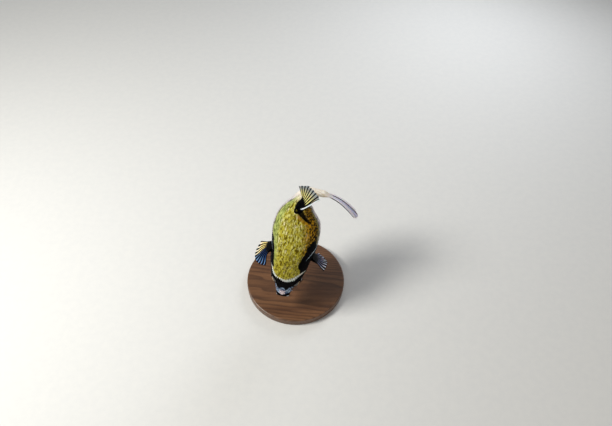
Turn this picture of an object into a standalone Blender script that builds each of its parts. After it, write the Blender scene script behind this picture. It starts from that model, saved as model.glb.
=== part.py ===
"""A masked puffer, life size, diving nose down on a plain display stand.

Metres, +Z up, with the origin at the centre of the stand's underside.
The fish is modelled level, facing -Y with its left side towards +X, and the empty
fish_pose then tips it nose down over the stand. Its own sizes are shares of its
standard length, which runs from the snout (0) to the root of the tail fin (1).
"""

import math
from bisect import bisect_right

import bmesh
import bpy
from mathutils import Matrix, Vector

# Driving sizes
STANDARD_LENGTH = 0.188
TAIL_FIN_LENGTH = 0.055
NOSE_DOWN = math.radians(54.0)
GAP = 0.0003

# Lines of the body, as (place along it, height or half width)
BACK_LINE = (
    (0.0, 0.002), (0.05, 0.038), (0.12, 0.098), (0.20, 0.149), (0.32, 0.178), (0.46, 0.187),
    (0.62, 0.170), (0.74, 0.130), (0.86, 0.078), (1.0, 0.047),
)
BELLY_LINE = (
    (0.0, -0.044), (0.05, -0.075), (0.12, -0.108), (0.22, -0.150), (0.36, -0.190), (0.50, -0.208),
    (0.62, -0.194), (0.74, -0.138), (0.86, -0.068), (1.0, -0.041),
)
HALF_WIDTH = (
    (0.0, 0.042), (0.05, 0.061), (0.12, 0.085), (0.20, 0.121), (0.28, 0.145), (0.36, 0.157),
    (0.46, 0.176), (0.56, 0.182), (0.66, 0.157), (0.74, 0.105), (0.80, 0.064), (0.90, 0.031),
    (1.0, 0.024),
)
WIDEST_HEIGHT = ((0.0, -0.021), (0.20, 0.0), (0.50, -0.018), (0.74, -0.006), (1.0, 0.003))
SQUARENESS = ((0.0, 2.0), (0.20, 2.5), (0.50, 2.3), (0.80, 2.1), (1.0, 2.0))

# How far the spine has turned to the left along its length, in degrees
SPINE_TURN = (
    (0.0, 8.0), (0.10, 11.0), (0.20, 10.0), (0.30, 12.5), (0.40, 15.0), (0.50, 8.0), (0.60, 4.0),
    (0.70, 12.0), (0.80, 30.0), (0.90, 92.0), (1.0, 106.0), (1.14, 128.0), (1.32, 145.0),
)
SPINE_STEPS = 270

# Mouth: where the lips begin, how far they stand out, and how far they curl in
LIP_START = 0.026
LIP_REACH = 0.020
LIP_CURL_SIDE = 0.019
LIP_CURL_HEIGHT = 0.029
LIP_RINGS = 5
MOUTH_DEPTH = 0.030
BEAK_FRONT = 0.009
BEAK_GROOVE = 0.0004

# Cuts between the lengths of the body, and how the tail's end is rounded
HEAD_END = 0.335
TRUNK_END = 0.70
TAIL_ROOT_END = 0.86
ROUND_END = 0.975
ROUND_RINGS = 4
SIDES = 40
HEAD_RINGS = 17
TRUNK_RINGS = 13
TAIL_ROOT_RINGS = 9
TAIL_STEM_RINGS = 7

# Eyes
EYE_PLACE = 0.166
EYE_HEIGHT = 0.084
EYE_RADIUS = 0.040
EYE_SINK = 0.026
EYE_AXIS = Vector((0.90, -0.33, 0.28)).normalized()
LID_RADIUS = 0.0315
LID_THICKNESS = 0.0065
LID_SINK = 0.0035

# Nostril flaps: two small flaps stand up on each side of the snout
NOSTRIL_PLACE = 0.105
NOSTRIL_HEIGHT = 0.070
FLAP_LENGTH = 0.021
FLAP_RADIUS = 0.0055
FLAP_SPREAD = 0.35

# Gill slit: a lens-shaped groove just ahead of the pectoral fin
GILL_HEIGHT = -0.012
GILL_HALF_SIZE = Vector((0.022, 0.0065, 0.046))

# Fins: thickness of a ray and shares of it, how far apart a ridge's feet are, and the rays' bend
RAY_THICKNESS = 0.0012
WEB_SHARE = 0.45
TIP_SHARE = 0.55
RIDGE_SHARE = 0.27
WEB_REACH = 0.975
ROOT_SINK = 0.016
RAY_BOW = 0.026
PECTORAL_RAYS = 10
DORSAL_RAYS = 9
ANAL_RAYS = 10
TAIL_RAYS = 10
PECTORAL_FLESH = 0.0062
DORSAL_FLESH = 0.0075
ANAL_FLESH = 0.0068

# Where the fins are rooted: places along the body, and heights on it for the pectoral fins
PECTORAL_PLACE = (0.366, 0.386)
PECTORAL_HEIGHT = (0.034, -0.060)
DORSAL_PLACE = (0.730, 0.810)
ANAL_PLACE = (0.735, 0.790)

# Where the rays end, from their roots: left, tailward and up, for the first, middle and last ray
LEFT_PECTORAL = ((0.093, -0.059, 0.102), (0.114, -0.073, -0.095), (0.046, -0.043, -0.137))
RIGHT_PECTORAL = ((-0.038, -0.098, 0.108), (-0.127, -0.099, 0.021), (-0.099, -0.024, -0.111))
DORSAL = ((0.154, 0.095, 0.045), (0.073, 0.140, 0.060), (-0.033, 0.120, 0.065))
ANAL = ((0.125, 0.035, -0.105), (0.085, 0.055, -0.125), (0.030, 0.060, -0.105))

# Tail fin: its middle, how far it leans over, half height at its root and how much it gains,
# its rounded end and its folds
TAIL_FIN_HEIGHT = 0.004
TAIL_FIN_LEAN = 0.27
TAIL_FIN_HALF_HEIGHT = 0.046
TAIL_FIN_SPREAD = 0.022
TAIL_FIN_ROUNDING = 0.12
TAIL_FIN_RIPPLE = 0.0035
TAIL_FLESH_HALF_HEIGHT = 0.030

# Stand
BASE_RADIUS = 0.075
BASE_HEIGHT = 0.012
BASE_BEVEL = 0.0015
ROD_RADIUS = 0.003
FLANGE_RADIUS = 0.010
FLANGE_HEIGHT = 0.003
SNOUT_CLEARANCE = 0.030
BALANCE_PLACE = 0.46
BALANCE_HEIGHT = -0.012


def smooth(points, x):
    """The value at x of a smooth curve through the points."""
    places = [p[0] for p in points]
    values = [p[1] for p in points]
    last = len(points) - 1

    def slope(i):
        low, high = max(i - 1, 0), min(i + 1, last)
        if low < i < high and (values[i] - values[low]) * (values[high] - values[i]) <= 0:
            return 0.0
        return (values[high] - values[low]) / (places[high] - places[low])

    i = min(max(bisect_right(places, x) - 1, 0), last - 1)
    width = places[i + 1] - places[i]
    t = (x - places[i]) / width
    return (
        (2 * t**3 - 3 * t**2 + 1) * values[i]
        + (t**3 - 2 * t**2 + t) * width * slope(i)
        + (3 * t**2 - 2 * t**3) * values[i + 1]
        + (t**3 - t**2) * width * slope(i + 1)
    )


def spine_points():
    """Points down the middle of the fish, with the way the tail has turned at each."""
    reach = SPINE_TURN[-1][0]
    step = reach / SPINE_STEPS
    x = y = 0.0
    points = []
    for i in range(SPINE_STEPS + 1):
        turn = math.radians(smooth(SPINE_TURN, i * step))
        points.append((x, y, turn))
        x += math.sin(turn) * step
        y += math.cos(turn) * step
    return points


SPINE = spine_points()


def place(along, left, up):
    """A point of the fish, from shares of the standard length measured along its bent spine."""
    at = min(max(along / SPINE_TURN[-1][0] * SPINE_STEPS, 0.0), SPINE_STEPS - 1e-6)
    i = int(at)
    x, y, turn = (a + (b - a) * (at - i) for a, b in zip(SPINE[i], SPINE[i + 1]))
    if along < 0:
        y = along
    return Vector((x + left * math.cos(turn), y - left * math.sin(turn), up)) * STANDARD_LENGTH


def section(along, angle):
    """Left and up of the skin at this angle from the top of the back, towards the left side."""
    waist = smooth(WIDEST_HEIGHT, along)
    power = 2.0 / smooth(SQUARENESS, along)
    side, top = math.sin(angle), math.cos(angle)
    height = smooth(BACK_LINE, along) - waist if top > 0 else waist - smooth(BELLY_LINE, along)
    left = smooth(HALF_WIDTH, along) * math.copysign(abs(side) ** power, side)
    return left, waist + height * math.copysign(abs(top) ** power, top)


def skin_at(along, up, side=1):
    """The point of the skin at this height on the left (1) or right (-1), and the way it faces."""
    waist = smooth(WIDEST_HEIGHT, along)
    height = smooth(BACK_LINE, along) - waist if up > waist else waist - smooth(BELLY_LINE, along)
    share = min(abs(up - waist) / height, 1.0)
    angle = math.acos(share ** (smooth(SQUARENESS, along) / 2.0))
    angle = side * (angle if up > waist else math.pi - angle)
    nudge = 0.01

    def point(a, b):
        return place(a, *section(a, b))

    facing = (point(along, angle + nudge) - point(along, angle - nudge)).cross(
        point(along + nudge, angle) - point(along - nudge, angle)
    )
    return point(along, angle), facing.normalized()


def section_ring(along, scale=1.0):
    """One ring of the body, shrunk towards its middle by scale."""
    middle = (smooth(BACK_LINE, along) + smooth(BELLY_LINE, along)) / 2
    ring = []
    for k in range(SIDES):
        left, up = section(along, 2 * math.pi * k / SIDES)
        ring.append(place(along, left * scale, middle + (up - middle) * scale))
    return ring


def lip_rings():
    """Rings from inside the mouth, round the front of the lips, to the face."""
    middle = (smooth(BACK_LINE, LIP_START) + smooth(BELLY_LINE, LIP_START)) / 2
    half_height = (smooth(BACK_LINE, LIP_START) - smooth(BELLY_LINE, LIP_START)) / 2
    half_width = smooth(HALF_WIDTH, LIP_START)

    def ring(along, curl):
        width = half_width - LIP_CURL_SIDE * curl
        height = half_height - LIP_CURL_HEIGHT * curl
        return [
            place(
                along,
                width * math.sin(2 * math.pi * k / SIDES),
                middle + height * math.cos(2 * math.pi * k / SIDES),
            )
            for k in range(SIDES)
        ]

    rings = [ring(MOUTH_DEPTH, 1.0)]
    for i in range(LIP_RINGS + 1):
        turn = math.pi * (1 - i / (LIP_RINGS + 1))
        rings.append(ring(LIP_START - LIP_REACH * math.sin(turn), (1 - math.cos(turn)) / 2))
    return rings


def body_rings(start, end, count):
    return [section_ring(start + (end - start) * i / (count - 1)) for i in range(count)]


def tail_end_rings():
    """The rounded end of the tail's flesh, that the tail fin grows round."""
    rings = []
    for i in range(1, ROUND_RINGS + 1):
        turn = math.pi / 2 * i / (ROUND_RINGS + 0.5)
        rings.append(section_ring(ROUND_END + (1 - ROUND_END) * math.sin(turn), math.cos(turn)))
    return rings


def new_object(name, mesh, material=None):
    obj = bpy.data.objects.new(name, mesh)
    fish_parts.objects.link(obj)
    if material:
        mesh.materials.append(material)
    return obj


def loft(name, rings, material=None):
    """A closed body through rings of like count."""
    bm = bmesh.new()
    rows = [[bm.verts.new(point) for point in ring] for ring in rings]
    count = len(rows[0])
    for row, following in zip(rows, rows[1:]):
        for k in range(count):
            after = (k + 1) % count
            bm.faces.new((row[k], row[after], following[after], following[k]))
    bm.faces.new(rows[0])
    bm.faces.new(rows[-1])
    bmesh.ops.recalc_face_normals(bm, faces=bm.faces)
    mesh = bpy.data.meshes.new(name)
    bm.to_mesh(mesh)
    bm.free()
    return new_object(name, mesh, material)


def principled(name, colour, roughness, metallic=0.0):
    material = bpy.data.materials.new(name)
    material.use_nodes = True
    shader = material.node_tree.nodes["Principled BSDF"]
    shader.inputs["Base Color"].default_value = (*colour, 1.0)
    shader.inputs["Roughness"].default_value = roughness
    shader.inputs["Metallic"].default_value = metallic
    material.diffuse_color = (*colour, 1.0)
    return material


def boolean(obj, operation, other):
    """A Boolean on an object or on a collection of them."""
    modifier = obj.modifiers.new(operation.title(), "BOOLEAN")
    modifier.operation = operation
    modifier.solver = "EXACT"
    if isinstance(other, bpy.types.Collection):
        modifier.operand_type = "COLLECTION"
        modifier.collection = other
    else:
        modifier.object = other
    return modifier


def apply_all(obj):
    """Makes the object's evaluated shape its own mesh."""
    bpy.context.view_layer.update()
    evaluated = obj.evaluated_get(bpy.context.evaluated_depsgraph_get())
    mesh = bpy.data.meshes.new_from_object(evaluated)
    obj.modifiers.clear()
    old, obj.data = obj.data, mesh
    bpy.data.meshes.remove(old)
    mesh.name = obj.name


def keep_largest(obj):
    """Drops every closed surface of the mesh but the largest."""
    bm = bmesh.new()
    bm.from_mesh(obj.data)
    unseen = set(bm.verts)
    islands = []
    while unseen:
        island, edge = set(), [unseen.pop()]
        while edge:
            vert = edge.pop()
            island.add(vert)
            for link in vert.link_edges:
                other = link.other_vert(vert)
                if other in unseen:
                    unseen.remove(other)
                    edge.append(other)
        islands.append(island)
    islands.sort(key=len)
    for island in islands[:-1]:
        bmesh.ops.delete(bm, geom=list(island), context="VERTS")
    bm.to_mesh(obj.data)
    bm.free()


def fuse(obj, pieces):
    """Joins the pieces to the object by one Boolean union."""
    joined = bpy.data.collections.new(obj.name + "_pieces")
    bpy.context.scene.collection.children.link(joined)
    for piece in pieces:
        joined.objects.link(piece)
    boolean(obj, "UNION", joined)
    apply_all(obj)
    for piece in pieces:
        bpy.data.objects.remove(piece)
    bpy.data.collections.remove(joined)
    keep_largest(obj)


def as_cutter(obj):
    fish_parts.objects.unlink(obj)
    cutters.objects.link(obj)
    obj.display_type = "WIRE"
    obj.hide_render = True
    return obj


def cut(obj, *others):
    for other in others:
        boolean(obj, "DIFFERENCE", other)
    apply_all(obj)
    keep_largest(obj)


def aim(axis):
    """A rotation that turns +Z to the axis."""
    return axis.to_track_quat("Z", "Y").to_matrix().to_4x4()


def from_bmesh(name, make, matrix, material=None):
    """A primitive made by bmesh.ops, put in place by a matrix."""
    bm = bmesh.new()
    make(bm)
    bmesh.ops.transform(bm, matrix=matrix, verts=bm.verts)
    mesh = bpy.data.meshes.new(name)
    bm.to_mesh(mesh)
    bm.free()
    return new_object(name, mesh, material)


def ball(name, centre, radius, segments, rings, material=None, turn=Matrix(), shape=(1, 1, 1)):
    matrix = Matrix.Translation(centre) @ turn @ Matrix.Diagonal((*shape, 1))
    return from_bmesh(
        name,
        lambda bm: bmesh.ops.create_uvsphere(bm, u_segments=segments, v_segments=rings, radius=radius),
        matrix,
        material,
    )


def eye_centre(side):
    surface, _ = skin_at(EYE_PLACE, EYE_HEIGHT, side)
    return surface - eye_axis(side) * EYE_SINK * STANDARD_LENGTH


def eye_axis(side):
    return Vector((EYE_AXIS.x * side, EYE_AXIS.y, EYE_AXIS.z))


def eye(side, name):
    radius = EYE_RADIUS * STANDARD_LENGTH
    return ball(name, eye_centre(side), radius, 20, 12, eye_dark, aim(eye_axis(side)))


def socket(side):
    radius = EYE_RADIUS * STANDARD_LENGTH + GAP
    return as_cutter(ball("socket", eye_centre(side), radius, 24, 14, turn=aim(eye_axis(side))))


def lid(side):
    """The rim of skin round an eye."""
    bpy.ops.mesh.primitive_torus_add(
        major_segments=24,
        minor_segments=6,
        major_radius=LID_RADIUS * STANDARD_LENGTH,
        minor_radius=LID_THICKNESS * STANDARD_LENGTH,
    )
    ring = bpy.context.object
    place_on = eye_centre(side) + eye_axis(side) * (EYE_SINK - LID_SINK) * STANDARD_LENGTH
    ring.data.transform(Matrix.Translation(place_on) @ aim(eye_axis(side)))
    return ring


def nostril_flap(side, lean):
    """One small tapered flap; lean tips it forward or back."""
    root, facing = skin_at(NOSTRIL_PLACE, NOSTRIL_HEIGHT, side)
    axis = (facing + Vector((0, lean * FLAP_SPREAD, 0))).normalized()
    length = FLAP_LENGTH * STANDARD_LENGTH
    radius = FLAP_RADIUS * STANDARD_LENGTH
    matrix = Matrix.Translation(root + axis * length * 0.25) @ aim(axis)
    return from_bmesh(
        "flap",
        lambda bm: bmesh.ops.create_cone(
            bm, cap_ends=True, segments=8, radius1=radius, radius2=radius * 0.45, depth=length
        ),
        matrix,
    )


def gill_groove(side):
    surface, _ = skin_at(HEAD_END, GILL_HEIGHT, side)
    size = GILL_HALF_SIZE * STANDARD_LENGTH
    return as_cutter(ball("gill_groove", surface, 1.0, 12, 10, shape=size))


def head():
    rings = lip_rings() + body_rings(LIP_START, HEAD_END - GAP / STANDARD_LENGTH / 2, HEAD_RINGS)
    obj = loft("head", rings, skin_tan)
    pieces = [lid(side) for side in (1, -1)]
    pieces += [nostril_flap(side, lean) for side in (1, -1) for lean in (1, -1)]
    for piece in pieces:
        for collection in list(piece.users_collection):
            collection.objects.unlink(piece)
    fuse(obj, pieces)
    cut(obj, socket(1), socket(-1), gill_groove(1), gill_groove(-1))
    return obj


def beak():
    """The four fused tooth plates that show between the lips."""
    top, bottom = smooth(BACK_LINE, LIP_START), smooth(BELLY_LINE, LIP_START)
    middle = (top + bottom) / 2
    clear = GAP / STANDARD_LENGTH
    half_width = smooth(HALF_WIDTH, LIP_START) - LIP_CURL_SIDE - 2 * clear
    half_height = (top - bottom) / 2 - LIP_CURL_HEIGHT - 2 * clear
    length = MOUTH_DEPTH - BEAK_FRONT - 2 * clear
    centre = place(MOUTH_DEPTH - clear - length / 2, 0, middle)
    size = Vector((half_width, length / 2, half_height)) * STANDARD_LENGTH
    teeth = ball("beak", centre, 1.0, 20, 12, tooth_cream, shape=size)
    front = Matrix.Translation(centre - Vector((0, size.y, 0)))
    bite = (4 * size.x, BEAK_GROOVE * 2, BEAK_GROOVE)
    suture = (BEAK_GROOVE, BEAK_GROOVE * 2, 4 * size.z)
    for name, shape in (("bite", bite), ("suture", suture)):
        matrix = front @ Matrix.Diagonal((*shape, 1))
        slot = from_bmesh(name, lambda bm: bmesh.ops.create_cube(bm, size=1.0), matrix)
        boolean(teeth, "DIFFERENCE", as_cutter(slot))
    apply_all(teeth)
    keep_largest(teeth)
    return teeth


def clearance_body():
    """The whole body grown by the gap: what the fins and the rod are trimmed by."""
    count = 60
    rings = [section_ring(LIP_START + (ROUND_END - LIP_START) * i / (count - 1)) for i in range(count)]
    obj = loft("body_clearance", lip_rings() + rings + tail_end_rings())
    grow = obj.modifiers.new("Grow", "DISPLACE")
    grow.strength = GAP
    grow.mid_level = 0.0
    apply_all(obj)
    return as_cutter(obj)


def fin(name, rays, rows, surface, root_thickness, root_reach):
    """A fan of rays with a thin web between them.

    surface(s, r) gives the middle of the fin at share s of the way from its first ray to its last
    and share r along a ray, and root_thickness(s) the flesh that its root is thick with.
    """
    columns = []
    for i in range(rays):
        at = i / (rays - 1)
        foot = RIDGE_SHARE / (rays - 1)
        if i > 0:
            columns.append((at - foot, WEB_SHARE))
        columns.append((at, 1.0))
        if i < rays - 1:
            columns.append((at + foot, WEB_SHARE))
    bm = bmesh.new()
    grid, thickness = [], []
    for at, share in columns:
        column = []
        for j in range(rows + 1):
            r = (j / rows) ** 1.15
            reach = r if share == 1.0 else r * WEB_REACH
            column.append(bm.verts.new(surface(at, reach)))
            ray = RAY_THICKNESS * share * (1 - (1 - TIP_SHARE) * r if share == 1.0 else 1.0)
            flesh = root_thickness(at) * math.exp(-((r / root_reach) ** 2))
            thickness.append(max(ray, flesh))
        grid.append(column)
    for a, b in zip(grid, grid[1:]):
        for j in range(rows):
            bm.faces.new((a[j], b[j], b[j + 1]))
            bm.faces.new((a[j], b[j + 1], a[j + 1]))
    mesh = bpy.data.meshes.new(name)
    bm.to_mesh(mesh)
    bm.free()
    obj = new_object(name, mesh, fin_dark)
    most = max(thickness)
    group = obj.vertex_groups.new(name="thickness")
    for index, value in enumerate(thickness):
        group.add([index], value / most, "REPLACE")
    shell = obj.modifiers.new("Solidify", "SOLIDIFY")
    shell.thickness = most
    shell.offset = 0.0
    shell.vertex_group = group.name
    apply_all(obj)
    bm = bmesh.new()
    bm.from_mesh(obj.data)
    bmesh.ops.recalc_face_normals(bm, faces=bm.faces)
    bm.to_mesh(obj.data)
    bm.free()
    cut(obj, body_clearance)
    return obj


def between(first, middle, last, s):
    """A value that runs from first through middle to last, curved like a parabola."""
    return (
        first * (2 * (s - 0.5) * (s - 1))
        + middle * (4 * s * (1 - s))
        + last * (2 * s * (s - 0.5))
    )


def fan(root, facing, tips, s, r):
    """A point of a fin whose rays leave the skin the way it faces and then bend over to their tips."""
    ray = between(*(Vector(tip) for tip in tips), s)
    bow = facing * RAY_BOW * 6.75 * r * (1 - r) ** 2
    return root + (ray * r + bow - facing * ROOT_SINK * (1 - r)) * STANDARD_LENGTH


def pectoral_surface(side, *tips):
    """The left (1) or right (-1) pectoral fin, from its uppermost ray to its lowest."""

    def surface(s, r):
        along, up = (first + (last - first) * s for first, last in (PECTORAL_PLACE, PECTORAL_HEIGHT))
        root, facing = skin_at(along, up, side)
        return fan(root, facing, tips, s, r)

    return surface


def median_surface(places, line, sign, *tips):
    """The dorsal (sign 1) or anal (-1) fin, from its front ray to its last."""

    def surface(s, r):
        along = places[0] + (places[1] - places[0]) * s
        return fan(place(along, 0, smooth(line, along)), Vector((0, 0, sign)), tips, s, r)

    return surface


def tail_fin_surface(s, r):
    """The tail fin, half folded, its first ray uppermost."""
    start = ROUND_END - 0.01
    reach = TAIL_FIN_LENGTH / STANDARD_LENGTH + 1 - start
    along = start + reach * r * (1 - TAIL_FIN_ROUNDING * (2 * s - 1) ** 2)
    half_height = TAIL_FIN_HALF_HEIGHT + TAIL_FIN_SPREAD * r
    height = half_height * (1 - 2 * s)
    across = TAIL_FIN_RIPPLE * math.sin(3 * math.pi * s) * r + TAIL_FIN_LEAN * height * r * (2 - r)
    return place(along, across, TAIL_FIN_HEIGHT + height)


def tail_fin_flesh(s):
    """How thick the tail's flesh is within the fin's root."""
    return 2 * TAIL_FLESH_HALF_HEIGHT * STANDARD_LENGTH * math.sqrt(max(1 - (2 * s - 1) ** 2, 0.02))


def stand(pose):
    """The round base and the rod up to the fish's breast."""
    bpy.ops.mesh.primitive_cylinder_add(
        vertices=64, radius=BASE_RADIUS, depth=BASE_HEIGHT, location=(0, 0, BASE_HEIGHT / 2)
    )
    base = bpy.context.object
    base.name = base.data.name = "stand_base"
    base.data.materials.append(stand_wood)
    edge = base.modifiers.new("Bevel", "BEVEL")
    edge.width = BASE_BEVEL
    edge.segments = 2
    foot = BASE_HEIGHT + GAP
    middle = pose @ place(BALANCE_PLACE, 0, BALANCE_HEIGHT)
    profile = [(0, middle.z), (ROD_RADIUS, middle.z), (ROD_RADIUS, foot + FLANGE_HEIGHT + ROD_RADIUS / 2)]
    profile += [
        (ROD_RADIUS * 1.5, foot + FLANGE_HEIGHT),
        (FLANGE_RADIUS - 0.001, foot + FLANGE_HEIGHT),
        (FLANGE_RADIUS, foot + FLANGE_HEIGHT - 0.001),
        (FLANGE_RADIUS, foot),
        (0, foot),
    ]
    mesh = bpy.data.meshes.new("stand_rod")
    mesh.from_pydata([(x, 0, z) for x, z in profile], [(i, i + 1) for i in range(len(profile) - 1)], [])
    rod = new_object("stand_rod", mesh, stand_steel)
    turned = rod.modifiers.new("Screw", "SCREW")
    turned.steps = turned.render_steps = 24
    turned.use_merge_vertices = True
    turned.merge_threshold = 0.0001
    turned.use_smooth_shade = True
    cut(rod, body_clearance)


for leftover in list(bpy.data.objects):
    bpy.data.objects.remove(leftover)
fish_parts = bpy.data.collections.new("masked_puffer")
cutters = bpy.data.collections.new("cutters")
bpy.context.scene.collection.children.link(fish_parts)
bpy.context.scene.collection.children.link(cutters)
collections_shown = bpy.context.view_layer.layer_collection.children
bpy.context.view_layer.active_layer_collection = collections_shown[fish_parts.name]

skin_tan = principled("puffer_skin", (0.42, 0.36, 0.10), 0.55)
fin_dark = principled("puffer_fin", (0.30, 0.29, 0.25), 0.45)
eye_dark = principled("puffer_eye", (0.03, 0.03, 0.03), 0.15)
tooth_cream = principled("puffer_beak", (0.78, 0.74, 0.62), 0.35)
stand_wood = principled("stand_wood", (0.15, 0.075, 0.04), 0.50)
stand_steel = principled("stand_steel", (0.60, 0.60, 0.60), 0.30, 1.0)

tilt = Matrix.Rotation(NOSE_DOWN, 4, "X")
balance = tilt @ place(BALANCE_PLACE, 0, BALANCE_HEIGHT)
pose_matrix = Matrix.Translation((-balance.x, -balance.y, BASE_HEIGHT + SNOUT_CLEARANCE)) @ tilt
fish_pose = bpy.data.objects.new("fish_pose", None)
fish_pose.matrix_world = pose_matrix
fish_parts.objects.link(fish_pose)

half_gap = GAP / STANDARD_LENGTH / 2
body_clearance = clearance_body()
trunk_rings = body_rings(HEAD_END + half_gap, TRUNK_END - half_gap, TRUNK_RINGS)
tail_root_rings = body_rings(TRUNK_END + half_gap, TAIL_ROOT_END - half_gap, TAIL_ROOT_RINGS)
tail_stem_rings = body_rings(TAIL_ROOT_END + half_gap, ROUND_END, TAIL_STEM_RINGS) + tail_end_rings()
fish = [
    head(),
    beak(),
    loft("trunk", trunk_rings, skin_tan),
    loft("tail_root", tail_root_rings, skin_tan),
    loft("tail_stem", tail_stem_rings, skin_tan),
    eye(1, "eye_left"),
    eye(-1, "eye_right"),
    fin(
        "pectoral_fin_left", PECTORAL_RAYS, 7,
        pectoral_surface(1, *LEFT_PECTORAL),
        lambda s: PECTORAL_FLESH, 0.24,
    ),
    fin(
        "pectoral_fin_right", PECTORAL_RAYS, 7,
        pectoral_surface(-1, *RIGHT_PECTORAL),
        lambda s: PECTORAL_FLESH, 0.24,
    ),
    fin(
        "dorsal_fin", DORSAL_RAYS, 8,
        median_surface(DORSAL_PLACE, BACK_LINE, 1, *DORSAL),
        lambda s: DORSAL_FLESH, 0.20,
    ),
    fin(
        "anal_fin", ANAL_RAYS, 7,
        median_surface(ANAL_PLACE, BELLY_LINE, -1, *ANAL),
        lambda s: ANAL_FLESH, 0.20,
    ),
    fin("tail_fin", TAIL_RAYS, 10, tail_fin_surface, tail_fin_flesh, 0.15),
]
for obj in fish:
    obj.parent = fish_pose
    obj.data.shade_smooth()
    obj.data.set_sharp_from_angle(angle=math.radians(40))
body_clearance.parent = fish_pose
bpy.context.view_layer.update()
stand(pose_matrix)
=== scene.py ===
"""The looks of a life-size masked puffer on its display stand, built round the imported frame."""

import math
from functools import partial, partialmethod

import bpy
import numpy as np
from mathutils import Matrix, Vector


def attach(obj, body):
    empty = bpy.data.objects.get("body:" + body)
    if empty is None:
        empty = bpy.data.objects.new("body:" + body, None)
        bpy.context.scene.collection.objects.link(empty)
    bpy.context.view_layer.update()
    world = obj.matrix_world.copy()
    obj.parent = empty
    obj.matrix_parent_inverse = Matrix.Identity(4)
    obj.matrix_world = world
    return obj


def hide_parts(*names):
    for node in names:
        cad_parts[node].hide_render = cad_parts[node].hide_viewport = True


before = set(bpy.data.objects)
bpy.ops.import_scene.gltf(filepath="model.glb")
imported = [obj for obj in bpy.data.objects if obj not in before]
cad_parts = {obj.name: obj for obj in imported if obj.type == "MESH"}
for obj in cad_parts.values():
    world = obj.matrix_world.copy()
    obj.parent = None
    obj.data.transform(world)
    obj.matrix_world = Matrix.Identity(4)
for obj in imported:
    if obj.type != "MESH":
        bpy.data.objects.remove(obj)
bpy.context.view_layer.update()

# The fish's sizes, as in its solids: shares of the standard length, measured along the spine
STANDARD_LENGTH = 0.188
MM = 0.001
LENGTH_MM = STANDARD_LENGTH / MM
NOSE_DOWN = math.radians(54.0)
BACK_LINE = (
    (0.0, 0.002), (0.05, 0.038), (0.12, 0.098), (0.20, 0.149), (0.32, 0.178), (0.46, 0.187),
    (0.62, 0.170), (0.74, 0.130), (0.86, 0.078), (1.0, 0.047),
)
BELLY_LINE = (
    (0.0, -0.044), (0.05, -0.075), (0.12, -0.108), (0.22, -0.150), (0.36, -0.190), (0.50, -0.208),
    (0.62, -0.194), (0.74, -0.138), (0.86, -0.068), (1.0, -0.041),
)
HALF_WIDTH = (
    (0.0, 0.042), (0.05, 0.061), (0.12, 0.085), (0.20, 0.121), (0.28, 0.145), (0.36, 0.157),
    (0.46, 0.176), (0.56, 0.182), (0.66, 0.157), (0.74, 0.105), (0.80, 0.064), (0.90, 0.031),
    (1.0, 0.024),
)
WIDEST_HEIGHT = ((0.0, -0.021), (0.20, 0.0), (0.50, -0.018), (0.74, -0.006), (1.0, 0.003))
SQUARENESS = ((0.0, 2.0), (0.20, 2.5), (0.50, 2.3), (0.80, 2.1), (1.0, 2.0))
SPINE_TURN = (
    (0.0, 8.0), (0.10, 11.0), (0.20, 10.0), (0.30, 12.5), (0.40, 15.0), (0.50, 8.0), (0.60, 4.0),
    (0.70, 12.0), (0.80, 30.0), (0.90, 92.0), (1.0, 106.0), (1.14, 128.0), (1.32, 145.0),
)
SPINE_STEPS = 270
LIP_START = 0.026
LIP_REACH = 0.020
LIP_CURL_SIDE = 0.019
LIP_CURL_HEIGHT = 0.029
MOUTH_DEPTH = 0.030
BEAK_FRONT = 0.009
BEAK_GAP = 0.002
ROUND_END = 0.975
EYE_PLACE = 0.166
EYE_HEIGHT = 0.084
EYE_RADIUS = 0.040
EYE_SINK = 0.026
EYE_AXIS = (0.90, -0.33, 0.28)
NOSTRIL_PLACE = 0.118
NOSTRIL_HEIGHT = 0.080
ROOT_SINK = 0.016
RAY_BOW = 0.026
PECTORAL_PLACE = (0.366, 0.386)
PECTORAL_HEIGHT = (0.034, -0.060)
DORSAL_PLACE = (0.730, 0.810)
ANAL_PLACE = (0.735, 0.790)
TAIL_FIN_LENGTH = 0.055 / STANDARD_LENGTH
TAIL_FIN_HEIGHT = 0.004
TAIL_FIN_LEAN = 0.27
TAIL_FIN_HALF_HEIGHT = 0.046
TAIL_FIN_SPREAD = 0.022
TAIL_FIN_ROUNDING = 0.12
TAIL_FIN_RIPPLE = 0.0035
TAIL_STUMP = 0.052

# The tips of each fin's first, middle and last ray, from its root: left, tailward and up
LEFT_PECTORAL = ((0.093, -0.059, 0.102), (0.114, -0.073, -0.095), (0.046, -0.043, -0.137))
RIGHT_PECTORAL = ((-0.038, -0.098, 0.108), (-0.127, -0.099, 0.021), (-0.099, -0.024, -0.111))
DORSAL = ((0.154, 0.095, 0.045), (0.073, 0.140, 0.060), (-0.033, 0.120, 0.065))
ANAL = ((0.125, 0.035, -0.105), (0.085, 0.055, -0.125), (0.030, 0.060, -0.105))

# The stand, in metres, and the point of the fish that is above its middle
BASE_HEIGHT = 0.012
SNOUT_CLEARANCE = 0.030
BALANCE = (0.46, 0.0, -0.012)

# How finely the skin is made, in rings and sides, and how deep it lies inside the solids in mm
LIP_RINGS = 26
HEAD_RINGS = 140
HEAD_END = 0.34
REAR_RINGS = 170
TAIL_END_RINGS = 14
SIDES = 380
SKIN_DEPTH = 0.4

# Gentle waves of the skin, each with its height and length in mm and its seed
SKIN_WAVES = ((0.28, 26.0, 3), (0.10, 7.0, 4))

# Rings round the eyes: how far outside the lid each lies, its height and its half width, in mm
LID_RADIUS = 0.030 * LENGTH_MM
LID_RINGS = ((0.0, 1.35, 1.05), (2.4, 0.35, 0.7), (1.7, -0.30, 0.4), (2.0, 0.9, 5.5))
SOCKET_DEPTH = 3.4

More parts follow.
